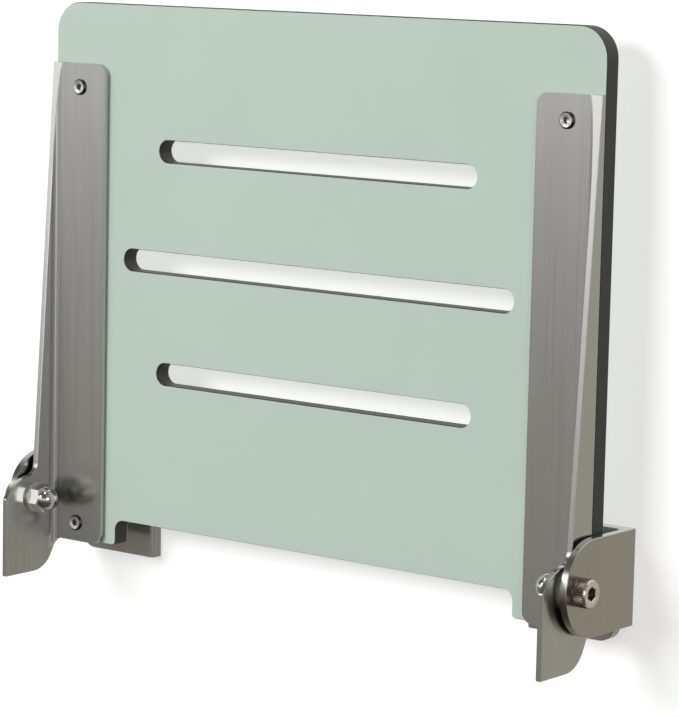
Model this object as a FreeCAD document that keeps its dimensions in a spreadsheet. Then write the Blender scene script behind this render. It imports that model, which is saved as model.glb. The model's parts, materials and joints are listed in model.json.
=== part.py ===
"""Folding shower seat for a wall, stored folded up against it.

A compact-laminate seat board hangs on two arms cut from stainless angle. Each arm turns on a shoulder screw in a
wall bracket, also cut from angle, and its tail lands on the bracket's plate when the seat is down.

Frame, in millimetres: X runs along the wall, to the right for someone who faces it; Y runs into the wall, whose
surface is Y = 0, so the seat is at negative Y; Z is up. The origin is midway between the two brackets, at the height
of their pivots.
"""
import FreeCAD, Part
import math
import os

import Sketcher

SIDES = {"left": -1, "right": 1}
LEVELS = ("upper", "lower")

# Driving dimensions. A formula is a cell worked out from other cells.
SIZES = [
    # Seat board, seen folded up: its underside faces the room.
    ("board_width", 450, "width along the wall"),
    ("board_top", 342.3, "height of the front edge, which is on top, above the pivots"),
    ("board_height", 372.4, "front edge to the ends of the two rear legs"),
    ("board_bottom", "=board_top - board_height", "height of the ends of the rear legs"),
    ("board_thickness", 13, "laminate, faces included"),
    ("wall_gap", 25.6, "wall to the upper face of the board"),
    ("board_under", "=wall_gap + board_thickness", "wall to the underside of the board"),
    ("decor_thickness", 0.4, "coloured face layer"),
    ("edge_break", 0.4, "chamfer round both faces"),
    ("front_corner_radius", 20, "two front corners"),
    ("leg_outer_radius", 5, "outer corner of each rear leg"),
    ("leg_inner_radius", 3, "inner corner of each rear leg"),
    ("notch_half_width", 166.8, "half the rear notch"),
    ("notch_depth", 17.8, "rear notch, from the ends of the legs"),
    ("notch_radius", 7, "two inner corners of the notch"),
    ("slot_width", 15, "drain slot across its round ends"),
    ("slot_long", 323, "middle slot, end to end"),
    ("slot_short", 262, "other two slots, end to end"),
    ("slot_pitch", 75.6, "slot to slot"),
    ("slot_middle", "=board_top - 172.8", "height of the middle slot"),
    # Arms, cut from angle.
    ("arm_steel", 4, "thickness of the arm"),
    ("arm_root", 5, "root radius of the arm's angle"),
    ("arm_toe", 0.8, "rounded edges at the ends of the angle's legs"),
    ("arm_outer", 225, "middle to the outer face of the arm, flush with the board"),
    ("flange_inner", 177, "middle to the inner edge of the flange"),
    ("flange_top", 301, "height of the top of the arm"),
    ("flange_bottom", -30.8, "height of the bottom of the flange"),
    ("flange_corner", 8.5, "corners of the flange"),
    ("flange_front", "=board_under + arm_steel", "wall to the front of the flange"),
    ("neck_out", 60.4, "wall to the web's edge where it meets the shoulder"),
    ("neck_up", 15.5, "height of that point"),
    ("neck_blend", 8, "radius between the web's edge and the shoulder"),
    ("shoulder_radius", 30, "round shoulder over the pivot"),
    ("tail_front", 90, "wall to the front of the tail"),
    ("tail_corner_up", 1.6, "height of the corner where the shoulder meets the tail's front"),
    ("tail_bottom", -52.5, "height of the edge that lands on the bracket"),
    ("heel_radius", 20, "rear corner of the tail"),
    ("heel_start_out", 62, "wall to the start of the heel's curve"),
    ("heel_end_out", 44.6, "wall to the end of the heel's curve"),
    ("heel_end_up", -42.4, "height of the end of the heel's curve"),
    ("crotch_radius", 7, "between the flange's end and the tail"),
    # Wall brackets: a thick plate and a thinner ear in one piece.
    ("plate_steel", 8.8, "thickness of the plate"),
    ("ear_steel", 5, "thickness of the ear"),
    ("plate_root", 4, "radius between the plate and the ear"),
    ("plate_toe", 3.5, "rounded front edge at the plate's inner end"),
    ("plate_inner", 158, "middle to the inner end of the plate"),
    ("ear_outer", 232.5, "middle to the outer face of the ear"),
    ("ear_inner", "=ear_outer - ear_steel", "middle to the inner face of the ear"),
    ("ear_radius", 31, "round front of the ear, which is also half its height"),
    ("ear_centre_out", 45.5, "wall to the centre of the ear's round front"),
    ("plate_bottom", -42.2, "height of the lower edge of the plate"),
    ("tab_radius", 11.2, "outer lower corner of the plate"),
    ("tab_outer", 224.2, "middle to the outer edge of the plate below the ear"),
    ("wall_hole", 8.5, "clearance hole for an M8 wall fixing"),
    ("wall_hole_x", 196, "middle to each wall hole"),
    ("wall_hole_rise", 16, "wall hole above or below the pivot"),
    # Pivot: shoulder screw, bush, washers and cap nut.
    ("pivot_out", 61.6, "wall to the pivot axis"),
    ("shoulder_bore", 12.1, "hole in the ear"),
    ("shoulder_diameter", 12, "smooth part of the shoulder screw"),
    ("shoulder_end", 220.8, "middle to the end of the smooth part"),
    ("head_diameter", 18.5, "head of the shoulder screw"),
    ("head_height", 9.2, "head of the shoulder screw"),
    ("head_socket", 8, "hexagon socket across flats"),
    ("head_socket_depth", 5, "hexagon socket"),
    ("head_bevel", 0.8, "bevels at the ends of the shoulder screw"),
    ("thread_diameter", 10, "threaded end of the shoulder screw"),
    ("thread_end", 207.5, "middle to the end of the thread"),
    ("bush_outer", 15, "plain bush in the arm"),
    ("bush_inner", 12.08, "plain bush in the arm"),
    ("bush_bore", 15.08, "hole in the arm for the bush"),
    ("spacer_outer", 24, "nylon washer between arm and ear"),
    ("spacer_inner", 12.4, "nylon washer between arm and ear"),
    ("spacer_thickness", 2.2, "nylon washer between arm and ear"),
    ("washer_outer", 20.4, "washer under the cap nut"),
    ("washer_inner", 10.4, "washer under the cap nut"),
    ("washer_thickness", 2, "washer under the cap nut"),
    ("nut_flats", 17, "cap nut across flats"),
    ("nut_hexagon", 8, "height of the hexagon"),
    ("nut_relief", 0.2, "face under the dome, short of the flats"),
    ("nut_bevel", 0.55, "slope of the hexagon's bevelled corners"),
    ("nut_height", 17.1, "cap nut over its dome"),
    ("nut_dome", 7.9, "radius of the dome"),
    ("nut_bore", 10.1, "threaded hole of the cap nut"),
    ("nut_bore_depth", 13, "threaded hole of the cap nut"),
    ("nut_turn", 13.5, "degrees that the front flat leans back"),
    # Screws that hold the board to the arms.
    ("arm_screw_x", 200, "middle to each screw"),
    ("arm_screw_upper", 284.8, "height of the upper screw"),
    ("arm_screw_lower", -18, "height of the lower screw"),
    ("arm_screw_hole", 6.6, "hole in the flange"),
    ("button_diameter", 10.8, "button head"),
    ("button_height", 2.0, "button head"),
    ("button_rim", 0.6, "upright rim of the button head"),
    ("button_round", "=button_diameter * 0.6", "radius of the button's rounded top"),
    ("button_flat", "=button_diameter * 0.24", "radius of the flat round the socket"),
    ("button_socket", 4, "hexagon socket across flats"),
    ("button_socket_depth", 2, "hexagon socket"),
    ("screw_diameter", 6, "thread of the screw"),
    ("screw_length", 12.5, "under the head"),
    ("screw_bevel", 0.6, "bevel at the end of the screw"),
    ("insert_outer", 8, "brass insert in the board"),
    ("insert_inner", 6.1, "brass insert in the board"),
    ("insert_length", 9.5, "brass insert in the board"),
    ("insert_hole", 8.08, "blind hole for the insert"),
    ("insert_hole_depth", 10, "blind hole for the insert"),
    ("face_hole", 7, "hole in the face layer for the screw"),
    ("steel_break", 0.4, "chamfer on the cut edges of the steel"),
    ("waste", 10, "how far a cutting outline reaches past the steel"),
]

# How closely a direction or a place has to agree when edges and faces are picked out.
SAME_DIRECTION = 0.999
SHARP_TURN = 0.97
SAME_PLACE = 0.05

document = FreeCAD.newDocument("FoldingShowerSeat")
sheet = document.addObject("Spreadsheet::Sheet", "Sizes")
for row, (alias, cell, note) in enumerate(SIZES, start=1):
    sheet.set(f"A{row}", alias)
    sheet.set(f"B{row}", str(cell))
    sheet.set(f"C{row}", note)
    sheet.setAlias(f"B{row}", alias)
document.recompute()


def cells(expression):
    """Writes an expression in the sheet's aliases as one that another object can use."""
    words = expression.replace("(", "( ").replace(")", " )").split()
    aliases = {alias for alias, _, _ in SIZES}
    return " ".join(f"Sizes.{word}" if word in aliases else word for word in words)


def number(expression):
    """The present value of an expression in the sheet's aliases."""
    return float(sheet.evalExpression(cells(expression)))


def bind(target, prop, expression):
    """Ties a property of an object to the sheet."""
    target.setExpression(prop, cells(expression))


# --- Sketches ---------------------------------------------------------------------------------------------------


def new_body(name):
    body = document.addObject("PartDesign::Body", name)
    body.Label = name
    return body


def new_sketch(body, plane, name, offset=None):
    """A sketch on one of the body's own origin planes, moved along the plane's normal by an expression."""
    sketch = body.newObject("Sketcher::SketchObject", name)
    origin_plane = next(item for item in body.Origin.OriginFeatures if item.Role == plane)
    sketch.AttachmentSupport = [(origin_plane, "")]
    sketch.MapMode = "FlatFace"
    if offset:
        bind(sketch, "AttachmentOffset.Base.z", offset)
    return sketch


def dimension(sketch, kind, places, expression):
    """Adds a dimension that follows the sheet."""
    constraint = Sketcher.Constraint(kind, *places, number(expression))
    index = sketch.addConstraint(constraint)
    sketch.setExpression(f"Constraints[{index}]", cells(expression))


def locate(sketch, geometry, point, across, up):
    """Fixes a point of the sketch at two expressions from the sketch's origin."""
    dimension(sketch, "DistanceX", (-1, 1, geometry, point), across)
    dimension(sketch, "DistanceY", (-1, 1, geometry, point), up)


def arc_between(start, end, radius, turn):
    """The shorter arc from start to end: turn is 1 for anticlockwise and -1 for clockwise."""
    chord = end - start
    reach = math.sqrt(radius**2 - (chord.Length / 2) ** 2)
    side = FreeCAD.Vector(-chord.y, chord.x, 0).normalize() * turn
    centre = (start + end) / 2 + side * reach
    middle = centre - side * radius
    return Part.Arc(start, middle, end)


def closed_outline(sketch, steps):
    """Draws a closed outline. Each step is a corner, as two expressions, and the way to the next corner: a line, or
    an arc where the step also has a radius expression and a turn."""
    corners = [FreeCAD.Vector(number(step[0]), number(step[1]), 0) for step in steps]
    ends = []
    for index, step in enumerate(steps):
        start = corners[index]
        end = corners[(index + 1) % len(steps)]
        if len(step) == 2:
            geometry = sketch.addGeometry(Part.LineSegment(start, end))
        else:
            geometry = sketch.addGeometry(arc_between(start, end, number(step[2]), step[3]))
        forward = (sketch.getPoint(geometry, 1) - start).Length < (sketch.getPoint(geometry, 2) - start).Length
        ends.append((geometry, 1, 2) if forward else (geometry, 2, 1))
    for index, step in enumerate(steps):
        geometry, first, last = ends[index]
        following, following_first, _ = ends[(index + 1) % len(steps)]
        sketch.addConstraint(Sketcher.Constraint("Coincident", geometry, last, following, following_first))
        locate(sketch, geometry, first, step[0], step[1])
        if len(step) > 2:
            dimension(sketch, "Radius", (geometry,), step[2])


def circle(sketch, across, up, diameter):
    centre = FreeCAD.Vector(number(across), number(up), 0)
    shape = Part.Circle(centre, FreeCAD.Vector(0, 0, 1), number(diameter) / 2)
    geometry = sketch.addGeometry(shape)
    locate(sketch, geometry, 3, across, up)
    dimension(sketch, "Diameter", (geometry,), diameter)


def hexagon(sketch, flats):
    """A hexagon about the sketch's origin, with two corners on its horizontal axis."""
    across = f"( {flats} ) / sqrt( 3 )"
    rise = f"( {flats} ) / 2"
    closed_outline(sketch, [
        (across, "0"),
        (f"{across} / 2", rise),
        (f"0 - {across} / 2", rise),
        (f"0 - {across}", "0"),
        (f"0 - {across} / 2", f"0 - {rise}"),
        (f"{across} / 2", f"0 - {rise}"),
    ])


# --- Features ---------------------------------------------------------------------------------------------------


def pad(body, sketch, name, length, reverse=False):
    feature = body.newObject("PartDesign::Pad", name)
    feature.Profile = sketch
    bind(feature, "Length", length)
    feature.Reversed = reverse
    document.recompute()
    return feature


def revolve(body, sketch, name):
    """Turns a profile about the vertical axis of its sketch."""
    feature = body.newObject("PartDesign::Revolution", name)
    feature.Profile = sketch
    feature.ReferenceAxis = (sketch, ["V_Axis"])
    feature.Angle = 360
    document.recompute()
    return feature


def pocket(body, sketch, name, length=None):
    """Cuts through everything both ways, or to a length away from the sketch's normal."""
    before = body.Shape.Volume
    feature = body.newObject("PartDesign::Pocket", name)
    feature.Profile = sketch
    if length is None:
        feature.Type = "ThroughAll"
        feature.Midplane = True
    else:
        bind(feature, "Length", length)
    document.recompute()
    if body.Shape.Volume >= before:
        raise RuntimeError(f"{body.Label}: {name} cuts nothing")
    return feature


def dress(body, kind, name, edges, size):
    """A fillet or chamfer on chosen edges of the body's last feature."""
    dressed = body.Tip
    feature = body.newObject(f"PartDesign::{kind}", name)
    feature.Base = (dressed, edges)
    bind(feature, "Radius" if kind == "Fillet" else "Size", size)
    document.recompute()
    return feature


def edges_where(shape, wanted):
    """Names of the edges for which wanted(edge, middle point) holds."""
    names = []
    for index, edge in enumerate(shape.Edges, start=1):
        middle = edge.valueAt((edge.FirstParameter + edge.LastParameter) / 2)
        if wanted(edge, middle):
            names.append(f"Edge{index}")
    return names


def edges_across_at(shape, out, up):
    """Straight edges along X at one place, given as Y and Z."""

    def wanted(edge, middle):
        if edge.Curve.TypeId != "Part::GeomLine" or abs(edge.Curve.Direction.x) < SAME_DIRECTION:
            return False
        return math.dist((middle.y, middle.z), (out, up)) < SAME_PLACE

    return edges_where(shape, wanted)


def sharp_edges(shape, wanted):
    """Edges where two faces meet at an angle and whose middle point is wanted."""

    def turns(edge, middle):
        normals = []
        for face in shape.ancestorsOfType(edge, Part.Face):
            normals.append(face.normalAt(*face.Surface.parameter(middle)))
        return normals[0].dot(normals[-1]) < SHARP_TURN

    return edges_where(shape, lambda edge, middle: wanted(middle) and turns(edge, middle))


# --- Seat board -------------------------------------------------------------------------------------------------


def board_outline(sketch, inset):
    """The board with its notch and slots, with every edge moved into the material by the inset."""
    half = f"( board_width / 2 - {inset} )"
    top = f"( board_top - {inset} )"
    bottom = f"( board_bottom + {inset} )"
    notch = f"( notch_half_width + {inset} )"
    notch_top = f"( board_bottom + notch_depth + {inset} )"
    corner = f"( front_corner_radius - {inset} )"
    outer = f"( leg_outer_radius - {inset} )"
    inner = f"( leg_inner_radius - {inset} )"
    hollow = f"( notch_radius + {inset} )"
    closed_outline(sketch, [
        (half, f"{bottom} + {outer}"),
        (half, f"{top} - {corner}", corner, 1),
        (f"{half} - {corner}", top),
        (f"0 - {half} + {corner}", top, corner, 1),
        (f"0 - {half}", f"{top} - {corner}"),
        (f"0 - {half}", f"{bottom} + {outer}", outer, 1),
        (f"0 - {half} + {outer}", bottom),
        (f"0 - {notch} - {inner}", bottom, inner, 1),
        (f"0 - {notch}", f"{bottom} + {inner}"),
        (f"0 - {notch}", f"{notch_top} - {hollow}", hollow, -1),
        (f"0 - {notch} + {hollow}", notch_top),
        (f"{notch} - {hollow}", notch_top, hollow, -1),
        (notch, f"{notch_top} - {hollow}"),
        (notch, f"{bottom} + {inner}", inner, 1),
        (f"{notch} + {inner}", bottom),
        (f"{half} - {outer}", bottom, outer, 1),
    ])
    for length, rise in (("slot_short", "slot_pitch"), ("slot_long", "0"), ("slot_short", "0 - slot_pitch")):
        radius = f"( slot_width / 2 + {inset} )"
        end = f"( {length} / 2 + {inset} )"
        height = f"( slot_middle + {rise} )"
        closed_outline(sketch, [
            (f"0 - {end} + {radius}", f"{height} - {radius}"),
            (f"{end} - {radius}", f"{height} - {radius}", radius, 1),
            (end, height, radius, 1),
            (f"{end} - {radius}", f"{height} + {radius}"),
            (f"0 - {end} + {radius}", f"{height} + {radius}", radius, 1),
            (f"0 - {end}", height, radius, 1),
        ])


def arm_screw_places():
    """The four screws, as expressions for X and Z."""
    return [(f"{side} * arm_screw_x", f"arm_screw_{level}") for side in SIDES.values() for level in LEVELS]


def make_seat_core():
    """Dark core of the laminate, with a blind hole for each threaded insert."""
    body = new_body("seat_core")
    outline = new_sketch(body, "XZ_Plane", "core_outline", "wall_gap + decor_thickness")
    board_outline(outline, "0")
    slab = pad(body, outline, "core_slab", "board_thickness - 2 * decor_thickness")
    faces = [
        f"Face{index}"
        for index, face in enumerate(slab.Shape.Faces, start=1)
        if abs(face.normalAt(0, 0).y) > SAME_DIRECTION
    ]
    dress(body, "Chamfer", "core_edge_break", faces, "edge_break")
    holes = new_sketch(body, "XZ_Plane", "insert_holes", "board_under - decor_thickness")
    for across, up in arm_screw_places():
        circle(holes, across, up, "insert_hole")
    pocket(body, holes, "insert_bores", "insert_hole_depth")
    return body


def make_seat_face(name, offset, with_holes):
    """One of the two coloured face layers."""
    body = new_body(name)
    outline = new_sketch(body, "XZ_Plane", f"{name}_outline", offset)
    board_outline(outline, "edge_break")
    if with_holes:
        for across, up in arm_screw_places():
            circle(outline, across, up, "face_hole")
    pad(body, outline, f"{name}_layer", "decor_thickness")
    return body


# --- Arms -------------------------------------------------------------------------------------------------------


def make_arm(side):
    """A seat arm: a flange under the board, a web that deepens towards the pivot, and a tail that is the stop."""
    sign = SIDES[side]
    body = new_body(f"{side}_arm")
    section = new_sketch(body, "XY_Plane", f"{side}_arm_section", "tail_bottom")
    web_inner = f"{sign} * ( arm_outer - arm_steel )"
    closed_outline(section, [
        (f"{sign} * flange_inner", "0 - board_under"),
        (f"{sign} * arm_outer", "0 - board_under"),
        (f"{sign} * arm_outer", "0 - tail_front + arm_toe", "arm_toe", -sign),
        (f"{sign} * ( arm_outer - arm_toe )", "0 - tail_front"),
        (f"{sign} * ( arm_outer - arm_steel + arm_toe )", "0 - tail_front", "arm_toe", -sign),
        (web_inner, "0 - tail_front + arm_toe"),
        (web_inner, "0 - flange_front - arm_root", "arm_root", sign),
        (f"{sign} * ( arm_outer - arm_steel - arm_root )", "0 - flange_front"),
        (f"{sign} * ( flange_inner + arm_toe )", "0 - flange_front", "arm_toe", -sign),
        (f"{sign} * flange_inner", "0 - flange_front + arm_toe"),
    ])
    pad(body, section, f"{side}_arm_angle", "flange_top - tail_bottom")

    edge = new_sketch(body, "YZ_Plane", f"{side}_web_edge")
    closed_outline(edge, [
        ("0 - flange_front", "flange_top"),
        ("0 - neck_out", "neck_up", "shoulder_radius", 1),
        ("0 - tail_front", "tail_corner_up"),
        ("0 - tail_front - waste", "tail_corner_up"),
        ("0 - tail_front - waste", "flange_top + waste"),
        ("0 - flange_front", "flange_top + waste"),
    ])
    pocket(body, edge, f"{side}_web_taper")
    neck = edges_across_at(body.Shape, -number("neck_out"), number("neck_up"))
    dress(body, "Fillet", f"{side}_neck", neck, "neck_blend")

    crotch = new_sketch(body, "XZ_Plane", f"{side}_crotch")
    closed_outline(crotch, [
        (f"{sign} * ( flange_inner - waste )", "flange_bottom"),
        (f"{sign} * ( arm_outer - arm_steel - crotch_radius )", "flange_bottom", "crotch_radius", -sign),
        (web_inner, "flange_bottom - crotch_radius"),
        (web_inner, "tail_bottom - waste"),
        (f"{sign} * ( flange_inner - waste )", "tail_bottom - waste"),
    ])
    pocket(body, crotch, f"{side}_flange_end")

    heel = new_sketch(body, "YZ_Plane", f"{side}_heel")
    closed_outline(heel, [
        ("0 - heel_start_out", "tail_bottom", "heel_radius", 1),
        ("0 - heel_end_out", "heel_end_up"),
        ("0 - board_under", "flange_bottom"),
        ("0 - board_under + waste", "flange_bottom"),
        ("0 - board_under + waste", "tail_bottom - waste"),
        ("0 - heel_start_out", "tail_bottom - waste"),
    ])
    pocket(body, heel, f"{side}_tail_heel")

    corners = new_sketch(body, "XZ_Plane", f"{side}_flange_corner_arcs")
    for end, up in (("flange_top", 1), ("flange_bottom", -1)):
        closed_outline(corners, [
            (f"{sign} * ( flange_inner + flange_corner )", end, "flange_corner", sign * up),
            (f"{sign} * flange_inner", f"{end} - {up} * flange_corner"),
            (f"{sign} * ( flange_inner - waste )", f"{end} - {up} * flange_corner"),
            (f"{sign} * ( flange_inner - waste )", f"{end} + {up} * waste"),
            (f"{sign} * ( flange_inner + flange_corner )", f"{end} + {up} * waste"),
        ])
    pocket(body, corners, f"{side}_flange_corners")

    bore = new_sketch(body, "YZ_Plane", f"{side}_bush_bore")
    circle(bore, "0 - pivot_out", "0", "bush_bore")
    pocket(body, bore, f"{side}_pivot_bore")

    holes = new_sketch(body, "XZ_Plane", f"{side}_flange_holes")
    for level in LEVELS:
        circle(holes, f"{sign} * arm_screw_x", f"arm_screw_{level}", "arm_screw_hole")
    pocket(body, holes, f"{side}_screw_holes")

    web_faces = [number("arm_outer"), number("arm_outer") - number("arm_steel")]

    def on_web_face(middle):
        return min(abs(abs(middle.x) - face) for face in web_faces) < SAME_PLACE

    cut_edges = sharp_edges(body.Shape, on_web_face)
    dress(body, "Chamfer", f"{side}_arm_edge_break", cut_edges, "steel_break")
    return body


# --- Wall brackets ----------------------------------------------------------------------------------------------


def make_bracket(side):
    """A wall bracket: a plate on the wall, which reaches inwards, and a round-fronted ear that carries the pivot."""
    sign = SIDES[side]
    body = new_body(f"{side}_wall_bracket")
    section = new_sketch(body, "XY_Plane", f"{side}_bracket_section", "plate_bottom")
    closed_outline(section, [
        (f"{sign} * plate_inner", "0"),
        (f"{sign} * ear_outer", "0"),
        (f"{sign} * ear_outer", "0 - ear_centre_out - ear_radius"),
        (f"{sign} * ear_inner", "0 - ear_centre_out - ear_radius"),
        (f"{sign} * ear_inner", "0 - plate_steel - plate_root", "plate_root", sign),
        (f"{sign} * ( ear_inner - plate_root )", "0 - plate_steel"),
        (f"{sign} * ( plate_inner + plate_toe )", "0 - plate_steel", "plate_toe", -sign),
        (f"{sign} * plate_inner", "0 - plate_steel + plate_toe"),
    ])
    pad(body, section, f"{side}_bracket_angle", "ear_radius - plate_bottom")

    tab = new_sketch(body, "XZ_Plane", f"{side}_tab")
    closed_outline(tab, [
        (f"{sign} * ( tab_outer - tab_radius )", "plate_bottom", "tab_radius", sign),
        (f"{sign} * tab_outer", "0 - ear_radius"),
        (f"{sign} * ( ear_outer + waste )", "0 - ear_radius"),
        (f"{sign} * ( ear_outer + waste )", "plate_bottom - waste"),
        (f"{sign} * ( tab_outer - tab_radius )", "plate_bottom - waste"),
    ])
    pocket(body, tab, f"{side}_plate_corner")

    front = new_sketch(body, "YZ_Plane", f"{side}_ear_front")
    closed_outline(front, [
        ("0 - ear_centre_out", "ear_radius", "ear_radius", 1),
        ("0 - ear_centre_out - ear_radius", "0", "ear_radius", 1),
        ("0 - ear_centre_out", "0 - ear_radius"),
        ("0 - ear_centre_out", "plate_bottom - waste"),
        ("0 - ear_centre_out - ear_radius - waste", "plate_bottom - waste"),
        ("0 - ear_centre_out - ear_radius - waste", "ear_radius + waste"),
        ("0 - ear_centre_out", "ear_radius + waste"),
    ])
    pocket(body, front, f"{side}_ear_round")

    bore = new_sketch(body, "YZ_Plane", f"{side}_ear_bore_circle")
    circle(bore, "0 - pivot_out", "0", "shoulder_bore")
    pocket(body, bore, f"{side}_ear_bore")

    holes = new_sketch(body, "XZ_Plane", f"{side}_wall_hole_circles")
    for rise in (1, -1):
        circle(holes, f"{sign} * wall_hole_x", f"{rise} * wall_hole_rise", "wall_hole")
    pocket(body, holes, f"{side}_wall_holes")
    cut_edges = sharp_edges(body.Shape, lambda middle: True)
    dress(body, "Chamfer", f"{side}_bracket_edge_break", cut_edges, "steel_break")
    return body


# --- Turned parts: each is drawn about its own Z axis, which points away from the board's middle -----------------


def place_on_pivot(body, side, across, turn=0):
    """Lays a turned part on the pivot axis, its origin at a distance from the middle and its Z axis outwards."""
    sign = SIDES[side]
    outwards = FreeCAD.Rotation(FreeCAD.Vector(0, 1, 0), 90 * sign)
    about_axis = FreeCAD.Rotation(FreeCAD.Vector(0, 0, 1), turn)
    body.Placement.Rotation = outwards.multiply(about_axis)
    bind(body, "Placement.Base.x", f"{sign} * ( {across} )")
    bind(body, "Placement.Base.y", "0 - pivot_out")
    document.recompute()


def make_ring(name, outer, inner, length):
    """A plain ring that starts at its own origin."""
    body = new_body(name)
    rings = new_sketch(body, "XY_Plane", f"{name}_circles")
    circle(rings, "0", "0", outer)
    circle(rings, "0", "0", inner)
    pad(body, rings, f"{name}_ring", length)
    return body


def make_pivot_screw(side):
    """Shoulder screw: the head's seat is at its own origin, the head above it and the shank below."""
    name = f"{side}_pivot_screw"
    body = new_body(name)
    profile = new_sketch(body, "XZ_Plane", f"{name}_profile")
    closed_outline(profile, [
        ("0", "head_height"),
        ("0", "thread_end - ear_outer"),
        ("thread_diameter / 2 - head_bevel", "thread_end - ear_outer"),
        ("thread_diameter / 2", "thread_end - ear_outer + head_bevel"),
        ("thread_diameter / 2", "shoulder_end - ear_outer"),
        ("shoulder_diameter / 2", "shoulder_end - ear_outer"),
        ("shoulder_diameter / 2", "0"),
        ("head_diameter / 2 - head_bevel / 2", "0"),
        ("head_diameter / 2", "head_bevel / 2"),
        ("head_diameter / 2", "head_height - head_bevel"),
        ("head_diameter / 2 - head_bevel", "head_height"),
    ])
    revolve(body, profile, f"{name}_turned")
    socket = new_sketch(body, "XY_Plane", f"{name}_socket", "head_height")
    hexagon(socket, "head_socket")
    pocket(body, socket, f"{name}_hexagon", "head_socket_depth")
    place_on_pivot(body, side, "ear_outer")
    return body


def make_cap_nut(side):
    """Domed cap nut: its seat is at its own origin and its dome points to the board's middle."""
    name = f"{side}_cap_nut"
    body = new_body(name)
    flats = new_sketch(body, "XY_Plane", f"{name}_flats")
    hexagon(flats, "nut_flats")
    pad(body, flats, f"{name}_hexagon", "nut_height", reverse=True)
    # The turned outline is what a lathe leaves: a bevelled hexagon, a short neck and the dome.
    turning = new_sketch(body, "XZ_Plane", f"{name}_turning")
    corner = "( nut_flats / sqrt( 3 ) )"
    relieved = "( nut_flats / 2 - nut_relief )"
    bevel_end = f"( ( {corner} - {relieved} ) * nut_bevel - nut_hexagon )"
    closed_outline(turning, [
        ("0", "0 - nut_height", "nut_dome", 1),
        ("nut_dome", "nut_dome - nut_height"),
        ("nut_dome", "0 - nut_hexagon"),
        (relieved, "0 - nut_hexagon"),
        (corner, bevel_end),
        ("nut_flats", bevel_end),
        ("nut_flats", "0 - nut_height - waste"),
        ("0", "0 - nut_height - waste"),
    ])
    groove = body.newObject("PartDesign::Groove", f"{name}_dome")
    groove.Profile = turning
    groove.ReferenceAxis = (turning, ["V_Axis"])
    groove.Angle = 360
    document.recompute()
    bore = new_sketch(body, "XY_Plane", f"{name}_bore_circle")
    circle(bore, "0", "0", "nut_bore")
    pocket(body, bore, f"{name}_bore", "nut_bore_depth")
    place_on_pivot(body, side, "shoulder_end - washer_thickness", -SIDES[side] * number("nut_turn"))
    return body


def place_on_board(body, side, level, out):
    """Lays a turned part on a board screw's axis, its Z axis towards the room."""
    body.Placement.Rotation = FreeCAD.Rotation(FreeCAD.Vector(1, 0, 0), 90)
    bind(body, "Placement.Base.x", f"{SIDES[side]} * arm_screw_x")
    bind(body, "Placement.Base.y", f"0 - ( {out} )")
    bind(body, "Placement.Base.z", f"arm_screw_{level}")
    document.recompute()


def make_arm_screw(side, level):
    """Button-head screw: the head's seat is at its own origin."""
    name = f"{side}_{level}_screw"
    body = new_body(name)
    profile = new_sketch(body, "XZ_Plane", f"{name}_profile")
    closed_outline(profile, [
        ("0", "button_height"),
        ("0", "0 - screw_length"),
        ("screw_diameter / 2 - screw_bevel", "0 - screw_length"),
        ("screw_diameter / 2", "screw_bevel - screw_length"),
        ("screw_diameter / 2", "0"),
        ("button_diameter / 2", "0"),
        ("button_diameter / 2", "button_rim", "button_round", 1),
        ("button_flat", "button_height"),
    ])
    revolve(body, profile, f"{name}_turned")
    socket = new_sketch(body, "XY_Plane", f"{name}_socket", "button_height")
    hexagon(socket, "button_socket")
    pocket(body, socket, f"{name}_hexagon", "button_socket_depth")
    place_on_board(body, side, level, "flange_front")
    return body


def make_insert(side, level):
    """Threaded insert: its mouth is at its own origin and its body is in the board."""
    name = f"{side}_{level}_insert"
    body = make_ring(name, "insert_outer", "insert_inner", "insert_length")
    place_on_board(body, side, level, "board_under - decor_thickness - insert_length")
    return body


def make_group(name, members):
    """One sub-part made of several identical pieces."""
    group = document.addObject("Part::Compound", name)
    group.Label = name
    group.Links = members
    document.recompute()
    return group


# --- The whole seat ---------------------------------------------------------------------------------------------

sub_parts = [
    make_seat_core(),
    make_seat_face("seat_top_face", "wall_gap", False),
    make_seat_face("seat_under_face", "board_under - decor_thickness", True),
]
for side in SIDES:
    bush = make_ring(f"{side}_pivot_bush", "bush_outer", "bush_inner", "arm_steel")
    place_on_pivot(bush, side, "arm_outer - arm_steel")
    spacer = make_ring(f"{side}_spacer_washer", "spacer_outer", "spacer_inner", "spacer_thickness")
    place_on_pivot(spacer, side, "arm_outer")
    washer = make_ring(f"{side}_nut_washer", "washer_outer", "washer_inner", "washer_thickness")
    place_on_pivot(washer, side, "shoulder_end - washer_thickness")
    sub_parts += [
        make_arm(side),
        make_bracket(side),
        make_pivot_screw(side),
        bush,
        spacer,
        washer,
        make_cap_nut(side),
        make_group(f"{side}_arm_screws", [make_arm_screw(side, level) for level in LEVELS]),
        make_group(f"{side}_arm_inserts", [make_insert(side, level) for level in LEVELS]),
    ]

document.recompute()
for item in document.Objects:
    if {"Invalid", "Error"} & set(item.State):
        raise RuntimeError(f"{item.Label}: {item.State}")
for part in sub_parts:
    if part.Shape.isNull() or not part.Shape.isValid():
        raise RuntimeError(f"{part.Label}: shape is not valid")
os.makedirs("parts", exist_ok=True)
for part in sub_parts:
    part.Shape.exportStep(os.path.join("parts", f"{part.Label}.step"))
    print(part.Label, len(part.Shape.Solids), round(part.Shape.Volume, 1))
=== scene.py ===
import json
import math

import bmesh
import bpy
from mathutils import Matrix, Vector


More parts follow.
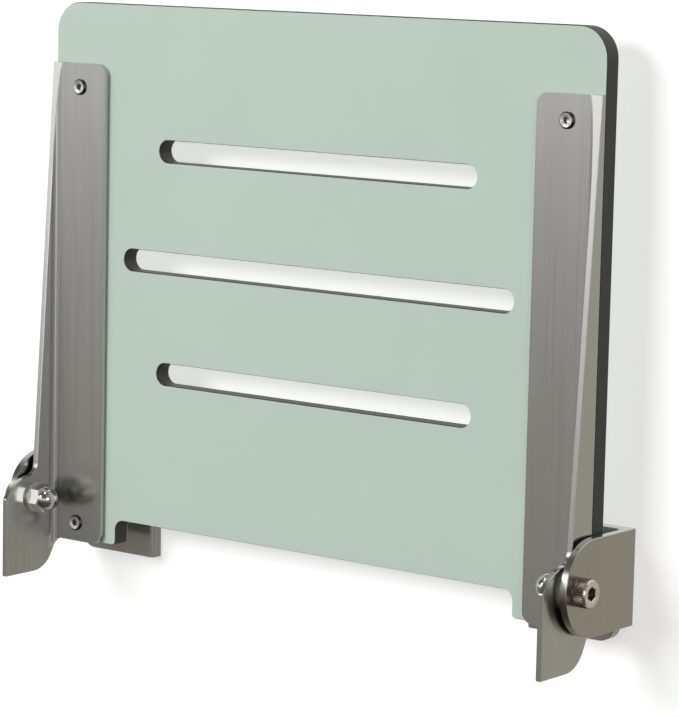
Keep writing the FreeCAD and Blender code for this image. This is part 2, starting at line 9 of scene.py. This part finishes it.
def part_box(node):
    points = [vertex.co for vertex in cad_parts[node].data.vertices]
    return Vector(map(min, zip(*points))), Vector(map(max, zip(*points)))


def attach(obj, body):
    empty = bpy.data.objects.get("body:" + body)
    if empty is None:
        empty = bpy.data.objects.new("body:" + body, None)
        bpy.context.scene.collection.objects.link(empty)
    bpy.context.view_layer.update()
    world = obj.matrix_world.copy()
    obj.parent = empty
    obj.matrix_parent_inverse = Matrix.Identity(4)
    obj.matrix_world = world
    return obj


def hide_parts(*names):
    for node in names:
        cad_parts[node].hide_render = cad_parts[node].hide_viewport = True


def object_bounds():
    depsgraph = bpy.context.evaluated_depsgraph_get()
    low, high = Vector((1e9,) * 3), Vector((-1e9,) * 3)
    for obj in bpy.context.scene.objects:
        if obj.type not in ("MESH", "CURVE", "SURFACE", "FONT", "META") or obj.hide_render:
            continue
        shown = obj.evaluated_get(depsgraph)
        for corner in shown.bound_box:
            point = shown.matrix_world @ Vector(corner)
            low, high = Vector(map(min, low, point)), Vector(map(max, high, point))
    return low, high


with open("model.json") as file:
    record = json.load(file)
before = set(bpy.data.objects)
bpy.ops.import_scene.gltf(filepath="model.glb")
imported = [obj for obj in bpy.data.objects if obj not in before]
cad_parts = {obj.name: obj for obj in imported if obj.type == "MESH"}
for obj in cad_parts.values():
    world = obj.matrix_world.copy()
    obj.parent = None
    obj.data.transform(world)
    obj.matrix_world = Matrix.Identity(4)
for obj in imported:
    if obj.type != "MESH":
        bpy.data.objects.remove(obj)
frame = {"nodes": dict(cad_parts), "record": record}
cad_low, cad_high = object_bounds()
nodes = frame["nodes"]

# Each side's name, and the sign of its X.
SIDES = (("left", -1), ("right", 1))

# Colours are linear RGB.
FACE_GREEN = (0.402, 0.490, 0.432)
CORE_DARK = (0.026, 0.029, 0.026)
STEEL = (0.555, 0.555, 0.54)
BRACKET_STEEL = (0.47, 0.455, 0.425)
BRIGHT_STEEL = (0.68, 0.67, 0.645)
KNURL_BROWN = (0.34, 0.29, 0.25)
# Painted shade: the near-black on the arm screws' head sides and in their sockets.
SIDE_PAINTED_SHADE = (0.10, 0.09, 0.08)
GROUND_STEEL = (0.88, 0.87, 0.84)
FACED_STEEL = (0.84, 0.80, 0.73)
WASHER_GREY = (0.66, 0.65, 0.62)
BRASS = (0.62, 0.46, 0.20)
NYLON = (0.70, 0.69, 0.64)
WALL_WHITE = (0.50, 0.50, 0.50)

# The surround's colour by the sine of the elevation, in front of the wall and behind it.
ROOM_SIDE = (
    (-1.0, (0.08, 0.065, 0.055)),
    (-0.40, (0.10, 0.08, 0.07)),
    (-0.23, (0.32, 0.29, 0.27)),
    (-0.16, (0.35, 0.32, 0.295)),
    (-0.11, (0.29, 0.285, 0.275)),
    (-0.08, (0.34, 0.335, 0.325)),
    (-0.04, (0.60, 0.60, 0.59)),
    (0.0, (1.1, 1.1, 1.08)),
    (0.06, (1.25, 1.25, 1.23)),
    (0.12, (0.60, 0.60, 0.59)),
    (0.25, (0.16, 0.15, 0.14)),
    (1.0, (0.12, 0.12, 0.12)),
)
WALL_SIDE = (
    (-1.0, (0.45, 0.43, 0.38)),
    (-0.25, (0.52, 0.49, 0.42)),
    (-0.19, (0.44, 0.415, 0.345)),
    (-0.12, (0.54, 0.51, 0.44)),
    (0.0, (0.56, 0.54, 0.48)),
    (0.07, (0.64, 0.63, 0.60)),
    (0.16, (0.92, 0.92, 0.90)),
    (1.0, (0.92, 0.92, 0.92)),
)

# Places in the surround with a colour of their own, which the steel reflects: azimuth and elevation,
# the radius of the full colour and of its soft edge, all in degrees, and the colour. Azimuth 0 is
# straight in front of the wall. A later one covers an earlier one.
LAMPS = (
    (72, -7, 12, 24, (0.28, 0.28, 0.27)),
    (40, 0, 3, 7, (0.30, 0.30, 0.29)),
    (40, -7, 3, 6, (0.95, 0.95, 0.94)),
    (134, -9, 3, 10, (0.30, 0.285, 0.25)),
    (-47, 5, 3, 7, (1.9, 1.89, 1.87)),
    (-33, 4, 2, 5.5, (2.0, 2.0, 1.97)),
    (60, 35, 8, 26, (0.42, 0.40, 0.37)),
    (-35, 19, 9, 12, (3.2, 3.2, 3.15)),
    (-9, 66, 6, 9, (3.2, 3.2, 3.2)),
    (47, 10, 9, 14, (2.6, 2.6, 2.55)),
)

# Area lights: name, the way to it from the object, width and height in metres, and power in watts.
LIGHTS = (
    ("key", (-0.38, -1.0, 0.42), 2.2, 1.5, 200),
    ("fill", (-0.9, -0.5, 0.9), 2.5, 2.5, 40),
    ("right", (0.9, -0.6, 0.9), 1.2, 1.2, 22),
)
LIGHT_DISTANCE = 5.0

# Stage: how brightly the wall and floor glow by themselves, and the rest in metres.
STAGE_GLOW = 0.56
STAGE_REACH = 12.0
FLOOR_LEVEL = -0.48
BEHIND_BRACKETS = 0.0003

# Noise stays mostly within these two values.
NOISE_LOW = 0.3
NOISE_HIGH = 0.7

# Edges sharper than this, in degrees, stay sharp in the shading.
SHARP_ANGLE = 32

# Every screw, in metres: radius of the small face that closes it on its axis, and its end's bevel.
AXIS_RADIUS = 0.0002
THREAD_BEVEL = 0.0006

# Pivot screw, in metres. Its places along X come from the CAD boxes.
HEAD_RADIUS = 0.00925
HEAD_LENGTH = 0.0092
SHOULDER_RADIUS = 0.006
THREAD_RADIUS = 0.005
SOCKET_FLATS = 0.008
SOCKET_DEPTH = 0.005
SOCKET_BEVEL = 0.0004
SOCKET_POINT = 0.001
# The head's foot: how far it is set in, and its height.
FOOT_INSET = 0.0006
FOOT_HEIGHT = 0.0005
# The head's outer end: the plain collar, and the rounded rim inside it.
COLLAR_HEIGHT = 0.0009
RIM_INSET = 0.0008
RIM_ROUND = 0.0003

# Knurling on the pivot screw's head: teeth round it and points to a tooth, then its depth and the
# length over which it runs out at each end, in metres, and the power that hollows a tooth's flanks.
KNURL_TEETH = 40
KNURL_STEPS = 6
KNURL_DEPTH = 0.0005
KNURL_RUNOUT = 0.0004
KNURL_SHARPNESS = 1.5

# Screws through the flanges, in metres: the head's radius and height, the radius of its face and of
# the shank, the socket's width across flats and its depth. The last is the count of points round one.
BUTTON_RADIUS = 0.0054
BUTTON_HEIGHT = 0.002
BUTTON_FACE = 0.0044
BUTTON_SHANK = 0.003
BUTTON_FLATS = 0.004
BUTTON_SOCKET = 0.002
BUTTON_STEPS = 96
# Heights above the flange on such a head: the top of the straight side, of the rounding and of the
# face's edge, then the crown, the dish's inner edge and the socket's mouth.
BUTTON_SIDE_TOP = 0.0008
BUTTON_ROUND_TOP = 0.0013
BUTTON_EDGE_TOP = 0.0017
BUTTON_CROWN = 0.0018
BUTTON_DISH = 0.0014
BUTTON_MOUTH = 0.0012
# How far the rounding and the crown are set in, how far the dish ends outside the socket, and how far
# the socket's floor sinks to its middle.
BUTTON_ROUND_INSET = 0.0005
BUTTON_CROWN_INSET = 0.0003
BUTTON_LIP = 0.0006
BUTTON_POINT = 0.0002


# ---- node trees ------------------------------------------------------------

def add(tree, kind, inputs=None, **settings):
    """A new node with its settings and unlinked input values."""
    made = tree.nodes.new(kind)
    for key, value in settings.items():
        setattr(made, key, value)
    for key, value in (inputs or {}).items():
        made.inputs[key].default_value = value
    return made


def start_material(name, colour, metallic, roughness):
    """A material, its tree and its Principled shader."""
    material = bpy.data.materials.new(name)
    material.use_nodes = True
    tree = material.node_tree
    shader = tree.nodes["Principled BSDF"]
    shader.inputs["Base Color"].default_value = (*colour, 1)
    shader.inputs["Metallic"].default_value = metallic
    shader.inputs["Roughness"].default_value = roughness
    return material, tree, shader


def stretched(tree, scale):
    """Object coordinates, in metres, multiplied by a scale for each axis."""
    coordinates = add(tree, "ShaderNodeTexCoord")
    mapping = add(tree, "ShaderNodeMapping", {"Scale": scale})
    tree.links.new(coordinates.outputs["Object"], mapping.inputs["Vector"])
    return mapping.outputs["Vector"]


def noise(tree, scale, detail, roughness=0.5):
    """Noise with its own scale along each axis, in steps per metre."""
    made = add(tree, "ShaderNodeTexNoise", {"Scale": 1.0, "Detail": detail, "Roughness": roughness})
    tree.links.new(stretched(tree, scale), made.inputs["Vector"])
    return made.outputs["Fac"]


def spread(tree, value, low, high):
    """A noise value spread over low to high."""
    made = add(tree, "ShaderNodeMapRange", {
        "From Min": NOISE_LOW, "From Max": NOISE_HIGH, "To Min": low, "To Max": high})
    tree.links.new(value, made.inputs["Value"])
    return made.outputs["Result"]


def tinted(tree, value, colour, low, high):
    """The colour between low and high times its brightness, by a noise value."""
    made = add(tree, "ShaderNodeMix", data_type="RGBA")
    made.inputs["A"].default_value = (*(c * low for c in colour), 1)
    made.inputs["B"].default_value = (*(c * high for c in colour), 1)
    tree.links.new(spread(tree, value, low=0, high=1), made.inputs["Factor"])
    return made.outputs["Result"]


def paint(tree, shader, value, colour, low, high):
    """The shader's colour: low to high times the given one, by a noise value."""
    tree.links.new(tinted(tree, value, colour, low, high), shader.inputs["Base Color"])


def roughen(tree, shader, value, low, high):
    """The shader's roughness: low to high, by a noise value."""
    tree.links.new(spread(tree, value, low, high), shader.inputs["Roughness"])


def average(tree, first, second):
    """The mean of two values."""
    total = add(tree, "ShaderNodeMath", operation="ADD")
    tree.links.new(first, total.inputs[0])
    tree.links.new(second, total.inputs[1])
    half = add(tree, "ShaderNodeMath", operation="MULTIPLY")
    half.inputs[1].default_value = 0.5
    tree.links.new(total.outputs[0], half.inputs[0])
    return half.outputs[0]


def bump(tree, shader, height, strength, distance):
    """A bump of the height on the shader's normal, over a distance in metres."""
    made = add(tree, "ShaderNodeBump", {"Strength": strength, "Distance": distance})
    tree.links.new(height, made.inputs["Height"])
    tree.links.new(made.outputs["Normal"], shader.inputs["Normal"])


# ---- materials -------------------------------------------------------------

def laminate_face():
    """Pale green compact laminate, satin, with a very fine pebble and a faint mottle."""
    material, tree, shader = start_material("laminate_face", FACE_GREEN, metallic=0, roughness=0.42)
    pebble = noise(tree, (1500, 1500, 1500), detail=2)
    mottle = noise(tree, (18, 18, 18), detail=3)
    grain = average(tree, pebble, mottle)
    paint(tree, shader, grain, FACE_GREEN, low=0.97, high=1.03)
    roughen(tree, shader, pebble, low=0.38, high=0.5)
    shader.inputs["Specular IOR Level"].default_value = 0.35
    bump(tree, shader, pebble, strength=0.12, distance=0.0001)
    return material


def laminate_core():
    """Near-black core: pressed paper layers, seen as fine lines along every cut edge."""
    material, tree, shader = start_material("laminate_core", CORE_DARK, metallic=0, roughness=0.5)
    layers = noise(tree, (25, 2600, 25), detail=1)
    cutter = noise(tree, (900, 60, 900), detail=2)
    grain = average(tree, layers, cutter)
    paint(tree, shader, grain, CORE_DARK, low=0.75, high=1.4)
    roughen(tree, shader, grain, low=0.4, high=0.6)
    bump(tree, shader, grain, strength=0.15, distance=0.0002)
    return material


def brushed_stainless(name, colour):
    """Satin stainless steel: fine lines and faint bands along the length, and soft broad stains."""
    material, tree, shader = start_material(name, colour, metallic=1, roughness=0.2)
    fine = noise(tree, (2200, 2200, 14), detail=2)
    coarse = noise(tree, (420, 420, 5), detail=3)
    stain = noise(tree, (14, 14, 9), detail=2)
    lines = average(tree, fine, coarse)
    bands = average(tree, noise(tree, (70, 70, 1.5), detail=2), stain)
    paint(tree, shader, average(tree, lines, bands), colour, low=0.94, high=1.06)
    roughen(tree, shader, lines, low=0.2, high=0.27)
    bump(tree, shader, lines, strength=0.02, distance=0.0001)
    return material


def knurl_and_shade_stainless(name, colour):
    """Rough turned steel, dark with a random mottle, for the knurled band. In a screw's socket and on the
    arm screws' head sides it is painted shade.
    """
    material, tree, shader = start_material(name, colour, metallic=1, roughness=0.3)
    rough_mottle = noise(tree, (900, 900, 900), detail=4, roughness=0.7)
    paint(tree, shader, rough_mottle, colour, low=0.45, high=1.5)
    roughen(tree, shader, rough_mottle, low=0.2, high=0.42)
    bump(tree, shader, rough_mottle, strength=0.3, distance=0.0002)
    return material


def ground_stainless():
    """The pale ground face of an arm screw's head, with fine marks."""
    material, tree, shader = start_material("ground_stainless", GROUND_STEEL, metallic=0.8, roughness=0.3)
    marks = noise(tree, (2500, 200, 2500), detail=3, roughness=0.6)
    paint(tree, shader, marks, GROUND_STEEL, low=0.8, high=1.1)
    return material


def faced_stainless():
    """The lathe-faced end of the pivot screw's head: pale and finely speckled."""
    material, tree, shader = start_material("faced_stainless", FACED_STEEL, metallic=1, roughness=0.24)
    speckle = noise(tree, (1200, 1200, 1200), detail=3)
    paint(tree, shader, speckle, FACED_STEEL, low=0.9, high=1.05)
    roughen(tree, shader, speckle, low=0.2, high=0.32)
    bump(tree, shader, speckle, strength=0.08, distance=0.0001)
    return material


def plain_washer():
    """Stamped washer, duller and paler than the nut on it."""
    material, tree, shader = start_material("plain_washer", WASHER_GREY, metallic=0.55, roughness=0.36)
    wear = noise(tree, (500, 500, 500), detail=3)
    paint(tree, shader, wear, WASHER_GREY, low=0.92, high=1.06)
    roughen(tree, shader, wear, low=0.3, high=0.44)
    bump(tree, shader, wear, strength=0.06, distance=0.0001)
    return material


def polished_stainless():
    """Bright turned fasteners, with a trace of handling marks."""
    material, tree, shader = start_material("polished_stainless", BRIGHT_STEEL, metallic=1, roughness=0.1)
    marks = noise(tree, (700, 700, 700), detail=3)
    paint(tree, shader, marks, BRIGHT_STEEL, low=0.95, high=1.05)
    roughen(tree, shader, marks, low=0.07, high=0.15)
    bump(tree, shader, marks, strength=0.04, distance=0.0001)
    return material


def brass_insert():
    """Turned brass: rings across the axis of each insert."""
    material, tree, shader = start_material("brass_insert", BRASS, metallic=1, roughness=0.3)
    rings = noise(tree, (60, 3000, 60), detail=2)
    paint(tree, shader, rings, BRASS, low=0.9, high=1.08)
    roughen(tree, shader, rings, low=0.24, high=0.38)
    bump(tree, shader, rings, strength=0.15, distance=0.0001)
    return material


def nylon():
    """Natural nylon, slightly cloudy."""
    material, tree, shader = start_material("nylon", NYLON, metallic=0, roughness=0.38)
    cloud = noise(tree, (160, 160, 160), detail=3)
    paint(tree, shader, cloud, NYLON, low=0.95, high=1.04)
    roughen(tree, shader, cloud, low=0.32, high=0.46)
    shader.inputs["Subsurface Weight"].default_value = 0.15
    shader.inputs["Subsurface Radius"].default_value = (0.001, 0.001, 0.001)
    bump(tree, shader, cloud, strength=0.05, distance=0.0002)
    return material


MATERIALS = {
    "laminate_face": laminate_face(),
    "laminate_core": laminate_core(),
    "brushed_stainless": brushed_stainless("brushed_stainless", STEEL),
    "polished_stainless": polished_stainless(),
    "brass_insert": brass_insert(),
    "nylon": nylon(),
}

# Nodes whose finish differs from the rest of their slot.
BRACKET_FINISH = brushed_stainless("bracket_stainless", BRACKET_STEEL)
WASHER_FINISH = plain_washer()
OWN_FINISH = {
    "left_wall_bracket": BRACKET_FINISH,
    "right_wall_bracket": BRACKET_FINISH,
    "left_nut_washer": WASHER_FINISH,
    "right_nut_washer": WASHER_FINISH,
}

# Parts of the screws' heads. The shadow finish is painted shade on the arm screws' sides and in their
# sockets, and the knurl finish is also painted shade in the pivot screw's socket.
HEAD_FINISH = {
    "knurl": knurl_and_shade_stainless("knurl_and_shade_stainless", KNURL_BROWN),
    "face": faced_stainless(),
    "shadow": knurl_and_shade_stainless("painted_shade_stainless", SIDE_PAINTED_SHADE),
    "ground": ground_stainless(),
}


def paint_nodes():
    """Every CAD node takes its own finish, or else the material of its slot in the record."""
    for sub in frame["record"]["subparts"]:
        node = nodes[sub["node"]]
        if not node.material_slots:
            node.data.materials.append(None)
        finish = OWN_FINISH.get(sub["node"], MATERIALS[sub["material_slot"]])
        for place in node.material_slots:
            place.material = finish


# ---- pieces ----------------------------------------------------------------

def mesh_object(name, made, slot_name, finishes):
    """A named object from a finished bmesh, with its slot's material and then the other finishes."""
    bmesh.ops.recalc_face_normals(made, faces=made.faces)
    mesh = bpy.data.meshes.new(name)
    made.to_mesh(mesh)
    made.free()
    piece = bpy.data.objects.new(name, mesh)
    bpy.context.scene.collection.objects.link(piece)
    for finish in (MATERIALS[slot_name], *finishes):
        mesh.materials.append(finish)
    mesh.shade_smooth()
    mesh.set_sharp_from_angle(angle=math.radians(SHARP_ANGLE))
    return piece


def plain(radius):
    """A round ring's radius, by angle."""
    return lambda angle: radius


def ring_of(made, count, x, radius_at, place):
    """A closed ring of points round the X axis, with its radius by angle, moved to its place."""
    points = []
    for step in range(count):
        angle = 2 * math.pi * step / count
        radius = radius_at(angle)
        point = Vector((x, radius * math.cos(angle), radius * math.sin(angle)))
        points.append(made.verts.new(place @ point))
    return points


def bridge(made, first, second, finish):
    """Faces between two rings of the same count, with the number of their finish."""
    count = len(first)
    for step in range(count):
        after = (step + 1) % count
        face = made.faces.new((first[step], first[after], second[after], second[step]))
        face.material_index = finish


def turned(made, profile, count, place):
    """A closed shape about the X axis, moved to its place.

    Each step of the profile is a place along the axis, a radius by angle, and the number of the finish
    from there to the next step.
    """
    rings = [ring_of(made, count, x, radius_at, place) for x, radius_at, _ in profile]
    for first, second, (_, _, finish) in zip(rings, rings[1:], profile):
        bridge(made, first, second, finish)
    made.faces.new(rings[0])
    made.faces.new(rings[-1])


def hexagon_radius(flats):
    """The distance from the middle of a hexagon to its side, by angle."""
    def radius_at(angle):
        within = (angle + math.pi / 6) % (math.pi / 3) - math.pi / 6
        return flats / 2 / math.cos(within)
    return radius_at


def pivot_screw(side, sign):
    """Shoulder screw with a knurled round head and a hexagon socket, on the pivot axis."""
    node = side + "_pivot_screw"
    low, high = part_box(node)
    far = high[0] if sign > 0 else -low[0]
    near = low[0] if sign > 0 else -high[0]
    washer_low, washer_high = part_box(side + "_nut_washer")
    thread_end = washer_high[0] if sign > 0 else -washer_low[0]
    middle = Vector((0, (low[1] + high[1]) / 2, (low[2] + high[2]) / 2))
    count = KNURL_TEETH * KNURL_STEPS

    def knurled(angle):
        tooth = angle * KNURL_TEETH / (2 * math.pi) % 1
        return HEAD_RADIUS - KNURL_DEPTH * abs(2 * tooth - 1) ** KNURL_SHARPNESS

    root = plain(HEAD_RADIUS - KNURL_DEPTH)
    rim = HEAD_RADIUS - RIM_INSET
    hexagon = hexagon_radius(SOCKET_FLATS)
    mouth = hexagon(math.pi / 6) + SOCKET_BEVEL
    seat = far - HEAD_LENGTH
    foot = seat + FOOT_HEIGHT
    collar = far - COLLAR_HEIGHT
    bottom = far - SOCKET_DEPTH
    bright, dark, face = 0, 1, 2
    profile = [
        (near, plain(AXIS_RADIUS), bright),
        (near, plain(THREAD_RADIUS - THREAD_BEVEL), bright),
        (near + THREAD_BEVEL, plain(THREAD_RADIUS), bright),
        (thread_end, plain(THREAD_RADIUS), bright),
        (thread_end, plain(SHOULDER_RADIUS), bright),
        (seat, plain(SHOULDER_RADIUS), bright),
        (seat, plain(HEAD_RADIUS - FOOT_INSET), dark),
        (foot, root, dark),
        (foot + KNURL_RUNOUT, knurled, dark),
        (collar - KNURL_RUNOUT, knurled, dark),
        (collar, root, bright),
        (far - RIM_ROUND, plain(rim), bright),
        (far, plain(rim - RIM_ROUND), face),
        (far, plain(mouth), bright),
        # The socket's walls and floor take the dark knurl finish as painted shade.
        (far - SOCKET_BEVEL, hexagon, dark),
        (bottom, hexagon, dark),
        (bottom - SOCKET_POINT, plain(AXIS_RADIUS), dark),
    ]
    made = bmesh.new()
    turned(made, profile, count, Matrix.Translation(middle) @ Matrix.Diagonal((sign, 1, 1, 1)))
    finishes = (HEAD_FINISH["knurl"], HEAD_FINISH["face"])
    piece = mesh_object(side + "_pivot_screw_turned", made, "polished_stainless", finishes)
    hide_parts(node)
    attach(piece, "wall_brackets")


def arm_screws(side):
    """The two screws through the arm's flange.

    Each head has a rounded side painted dark as shade, a bright dished face and a hexagon socket whose
    walls are painted dark as shade.
    """
    node = side + "_arm_screws"
    low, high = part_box(node)
    bright, dark, ground = 0, 1, 2
    hexagon = hexagon_radius(BUTTON_FLATS)
    seat = high[1] - low[1] - BUTTON_HEIGHT
    mouth = seat + BUTTON_MOUTH
    profile = [
        (0, plain(AXIS_RADIUS), bright),
        (0, plain(BUTTON_SHANK - THREAD_BEVEL), bright),
        (THREAD_BEVEL, plain(BUTTON_SHANK), bright),
        # The dark finish is painted shade: under the head, on its side and on the socket's walls.
        (seat, plain(BUTTON_SHANK), dark),
        (seat, plain(BUTTON_RADIUS), dark),
        (seat + BUTTON_SIDE_TOP, plain(BUTTON_RADIUS), dark),
        (seat + BUTTON_ROUND_TOP, plain(BUTTON_RADIUS - BUTTON_ROUND_INSET), dark),
        (seat + BUTTON_EDGE_TOP, plain(BUTTON_FACE), ground),
        (seat + BUTTON_CROWN, plain(BUTTON_FACE - BUTTON_CROWN_INSET), ground),
        (seat + BUTTON_DISH, plain(BUTTON_FLATS / 2 + BUTTON_LIP), ground),
        (mouth, hexagon, dark),
        (mouth - BUTTON_SOCKET, hexagon, bright),
        (mouth - BUTTON_SOCKET - BUTTON_POINT, plain(AXIS_RADIUS), bright),
    ]
    made = bmesh.new()
    middle = (low[0] + high[0]) / 2
    outward = Matrix.Rotation(-math.pi / 2, 4, "Z")
    for height in (low[2] + BUTTON_RADIUS, high[2] - BUTTON_RADIUS):
        place = Matrix.Translation((middle, high[1], height)) @ outward
        turned(made, profile, BUTTON_STEPS, place)
    finishes = (HEAD_FINISH["shadow"], HEAD_FINISH["ground"])
    piece = mesh_object(side + "_arm_screws_turned", made, "polished_stainless", finishes)
    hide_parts(node)
    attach(piece, "seat")


# ---- stage, light and camera ----------------------------------------------

def stage_material():
    """Matt white that glows by itself and is clear from behind, so it never blocks a view."""
    material, tree, shader = start_material("stage_white", WALL_WHITE, metallic=0, roughness=1.0)
    shader.inputs["Specular IOR Level"].default_value = 0
    shader.inputs["Emission Color"].default_value = (1, 1, 1, 1)
    shader.inputs["Emission Strength"].default_value = STAGE_GLOW
    geometry = add(tree, "ShaderNodeNewGeometry")
    clear = add(tree, "ShaderNodeBsdfTransparent")
    mix = add(tree, "ShaderNodeMixShader")
    tree.links.new(geometry.outputs["Backfacing"], mix.inputs["Fac"])
    tree.links.new(shader.outputs["BSDF"], mix.inputs[1])
    tree.links.new(clear.outputs["BSDF"], mix.inputs[2])
    tree.links.new(mix.outputs["Shader"], tree.nodes["Material Output"].inputs["Surface"])
    return material


def stage_plane(name, corners, material):
    """A large flat stage piece that faces the room and adds nothing to the light on the object."""
    mesh = bpy.data.meshes.new(name)
    mesh.from_pydata(corners, [], [tuple(range(len(corners)))])
    plane = bpy.data.objects.new(name, mesh)
    bpy.context.scene.collection.objects.link(plane)
    mesh.materials.append(material)
    plane.visible_glossy = False
    plane.visible_diffuse = False
    return plane


def make_stage():
    """A wall behind the brackets and a floor 0.48 m below the pivots."""
    white = stage_material()
    wall_face = cad_high[1] + BEHIND_BRACKETS
    wall = stage_plane("wall", [
        (-STAGE_REACH, wall_face, FLOOR_LEVEL), (STAGE_REACH, wall_face, FLOOR_LEVEL),
        (STAGE_REACH, wall_face, STAGE_REACH), (-STAGE_REACH, wall_face, STAGE_REACH)], white)
    wall.visible_shadow = False
    stage_plane("floor", [
        (-STAGE_REACH, -STAGE_REACH, FLOOR_LEVEL), (STAGE_REACH, -STAGE_REACH, FLOOR_LEVEL),
        (STAGE_REACH, STAGE_REACH, FLOOR_LEVEL), (-STAGE_REACH, STAGE_REACH, FLOOR_LEVEL)], white)


def area_light(name, way, width, height, power):
    """A soft rectangular light that isn't reflected: the surround and its places are, instead."""
    aim = (cad_low + cad_high) / 2
    toward = Vector(way).normalized()
    data = bpy.data.lights.new(name, "AREA")
    data.shape = "RECTANGLE"
    data.size = width
    data.size_y = height
    data.energy = power
    light = bpy.data.objects.new(name, data)
    light.location = aim + toward * LIGHT_DISTANCE
    light.rotation_euler = toward.to_track_quat("Z", "Y").to_euler()
    light.visible_glossy = False
    bpy.context.scene.collection.objects.link(light)


def height_ramp(tree, height, stops):
    """A colour by height above the horizon, -1 to 1, from (sine of elevation, colour) pairs."""
    ramp = add(tree, "ShaderNodeValToRGB")
    tree.links.new(height, ramp.inputs["Fac"])
    elements = ramp.color_ramp.elements
    elements[0].position = (stops[0][0] + 1) / 2
    elements[1].position = (stops[-1][0] + 1) / 2
    for sine, _ in stops[1:-1]:
        elements.new((sine + 1) / 2)
    for element, (_, colour) in zip(elements, stops):
        element.color = (*colour, 1)
    return ramp.outputs["Color"]


def lamp_glow(tree, direction, surround, lamp):
    """The surround's colour with one of its places in it."""
    azimuth, elevation, inner, outer, colour = lamp
    around = math.radians(azimuth)
    rise = math.radians(elevation)
    facing = add(tree, "ShaderNodeVectorMath", operation="DOT_PRODUCT")
    facing.inputs[1].default_value = (
        math.sin(around) * math.cos(rise), -math.cos(around) * math.cos(rise), math.sin(rise))
    edge = add(tree, "ShaderNodeMapRange", {
        "From Min": math.cos(math.radians(outer)), "From Max": math.cos(math.radians(inner))})
    mix = add(tree, "ShaderNodeMix", data_type="RGBA")
    mix.inputs["B"].default_value = (*colour, 1)
    tree.links.new(direction, facing.inputs[0])
    tree.links.new(facing.outputs["Value"], edge.inputs["Value"])
    tree.links.new(edge.outputs["Result"], mix.inputs["Factor"])
    tree.links.new(surround, mix.inputs["A"])
    return mix.outputs["Result"]


def make_world():
    """The surround: bright along the horizon in front of the wall, even and warm behind it."""
    world = bpy.data.worlds.new("studio")
    world.use_nodes = True
    tree = world.node_tree
    background = tree.nodes["Background"]
    coordinates = add(tree, "ShaderNodeTexCoord")
    parts = add(tree, "ShaderNodeSeparateXYZ")
    height = add(tree, "ShaderNodeMapRange", {"From Min": -1.0, "From Max": 1.0})
    blend = 0.2
    depth = add(tree, "ShaderNodeMapRange", {"From Min": -blend, "From Max": blend})
    mix = add(tree, "ShaderNodeMix", data_type="RGBA")
    tree.links.new(coordinates.outputs["Generated"], parts.inputs["Vector"])
    tree.links.new(parts.outputs["Z"], height.inputs["Value"])
    tree.links.new(parts.outputs["Y"], depth.inputs["Value"])
    room = height_ramp(tree, height.outputs["Result"], ROOM_SIDE)
    wall = height_ramp(tree, height.outputs["Result"], WALL_SIDE)
    tree.links.new(depth.outputs["Result"], mix.inputs["Factor"])
    tree.links.new(room, mix.inputs["A"])
    tree.links.new(wall, mix.inputs["B"])
    surround = mix.outputs["Result"]
    for lamp in LAMPS:
        surround = lamp_glow(tree, coordinates.outputs["Generated"], surround, lamp)
    tree.links.new(surround, background.inputs["Color"])
    bpy.context.scene.world = world


def make_camera():
    """A long lens from the right and slightly above, rolled a little."""
    azimuth = math.radians(37.720)
    elevation = math.radians(7.977)
    roll = math.radians(1.244)
    distance = 2.0747
    aim = Vector((0.02551, -0.0380, 0.11982))
    back = Vector((
        math.sin(azimuth) * math.cos(elevation),
        -math.cos(azimuth) * math.cos(elevation),
        math.sin(elevation)))
    right = Vector((math.cos(azimuth), math.sin(azimuth), 0))
    up = back.cross(right)
    rolled_right = right * math.cos(roll) + up * math.sin(roll)
    rolled_up = up * math.cos(roll) - right * math.sin(roll)
    data = bpy.data.cameras.new("camera")
    data.sensor_width = 36
    data.lens = 160.3
    data.clip_start = 0.05
    data.clip_end = 50
    camera = bpy.data.objects.new("camera", data)
    axes = Matrix((rolled_right, rolled_up, back)).transposed().to_4x4()
    camera.matrix_world = Matrix.Translation(aim + back * distance) @ axes
    bpy.context.scene.collection.objects.link(camera)
    bpy.context.scene.camera = camera


make_camera()
paint_nodes()
for side, sign in SIDES:
    pivot_screw(side, sign)
    arm_screws(side)
make_stage()
for light in LIGHTS:
    area_light(*light)
make_world()
bpy.context.scene.view_settings.view_transform = "Standard"
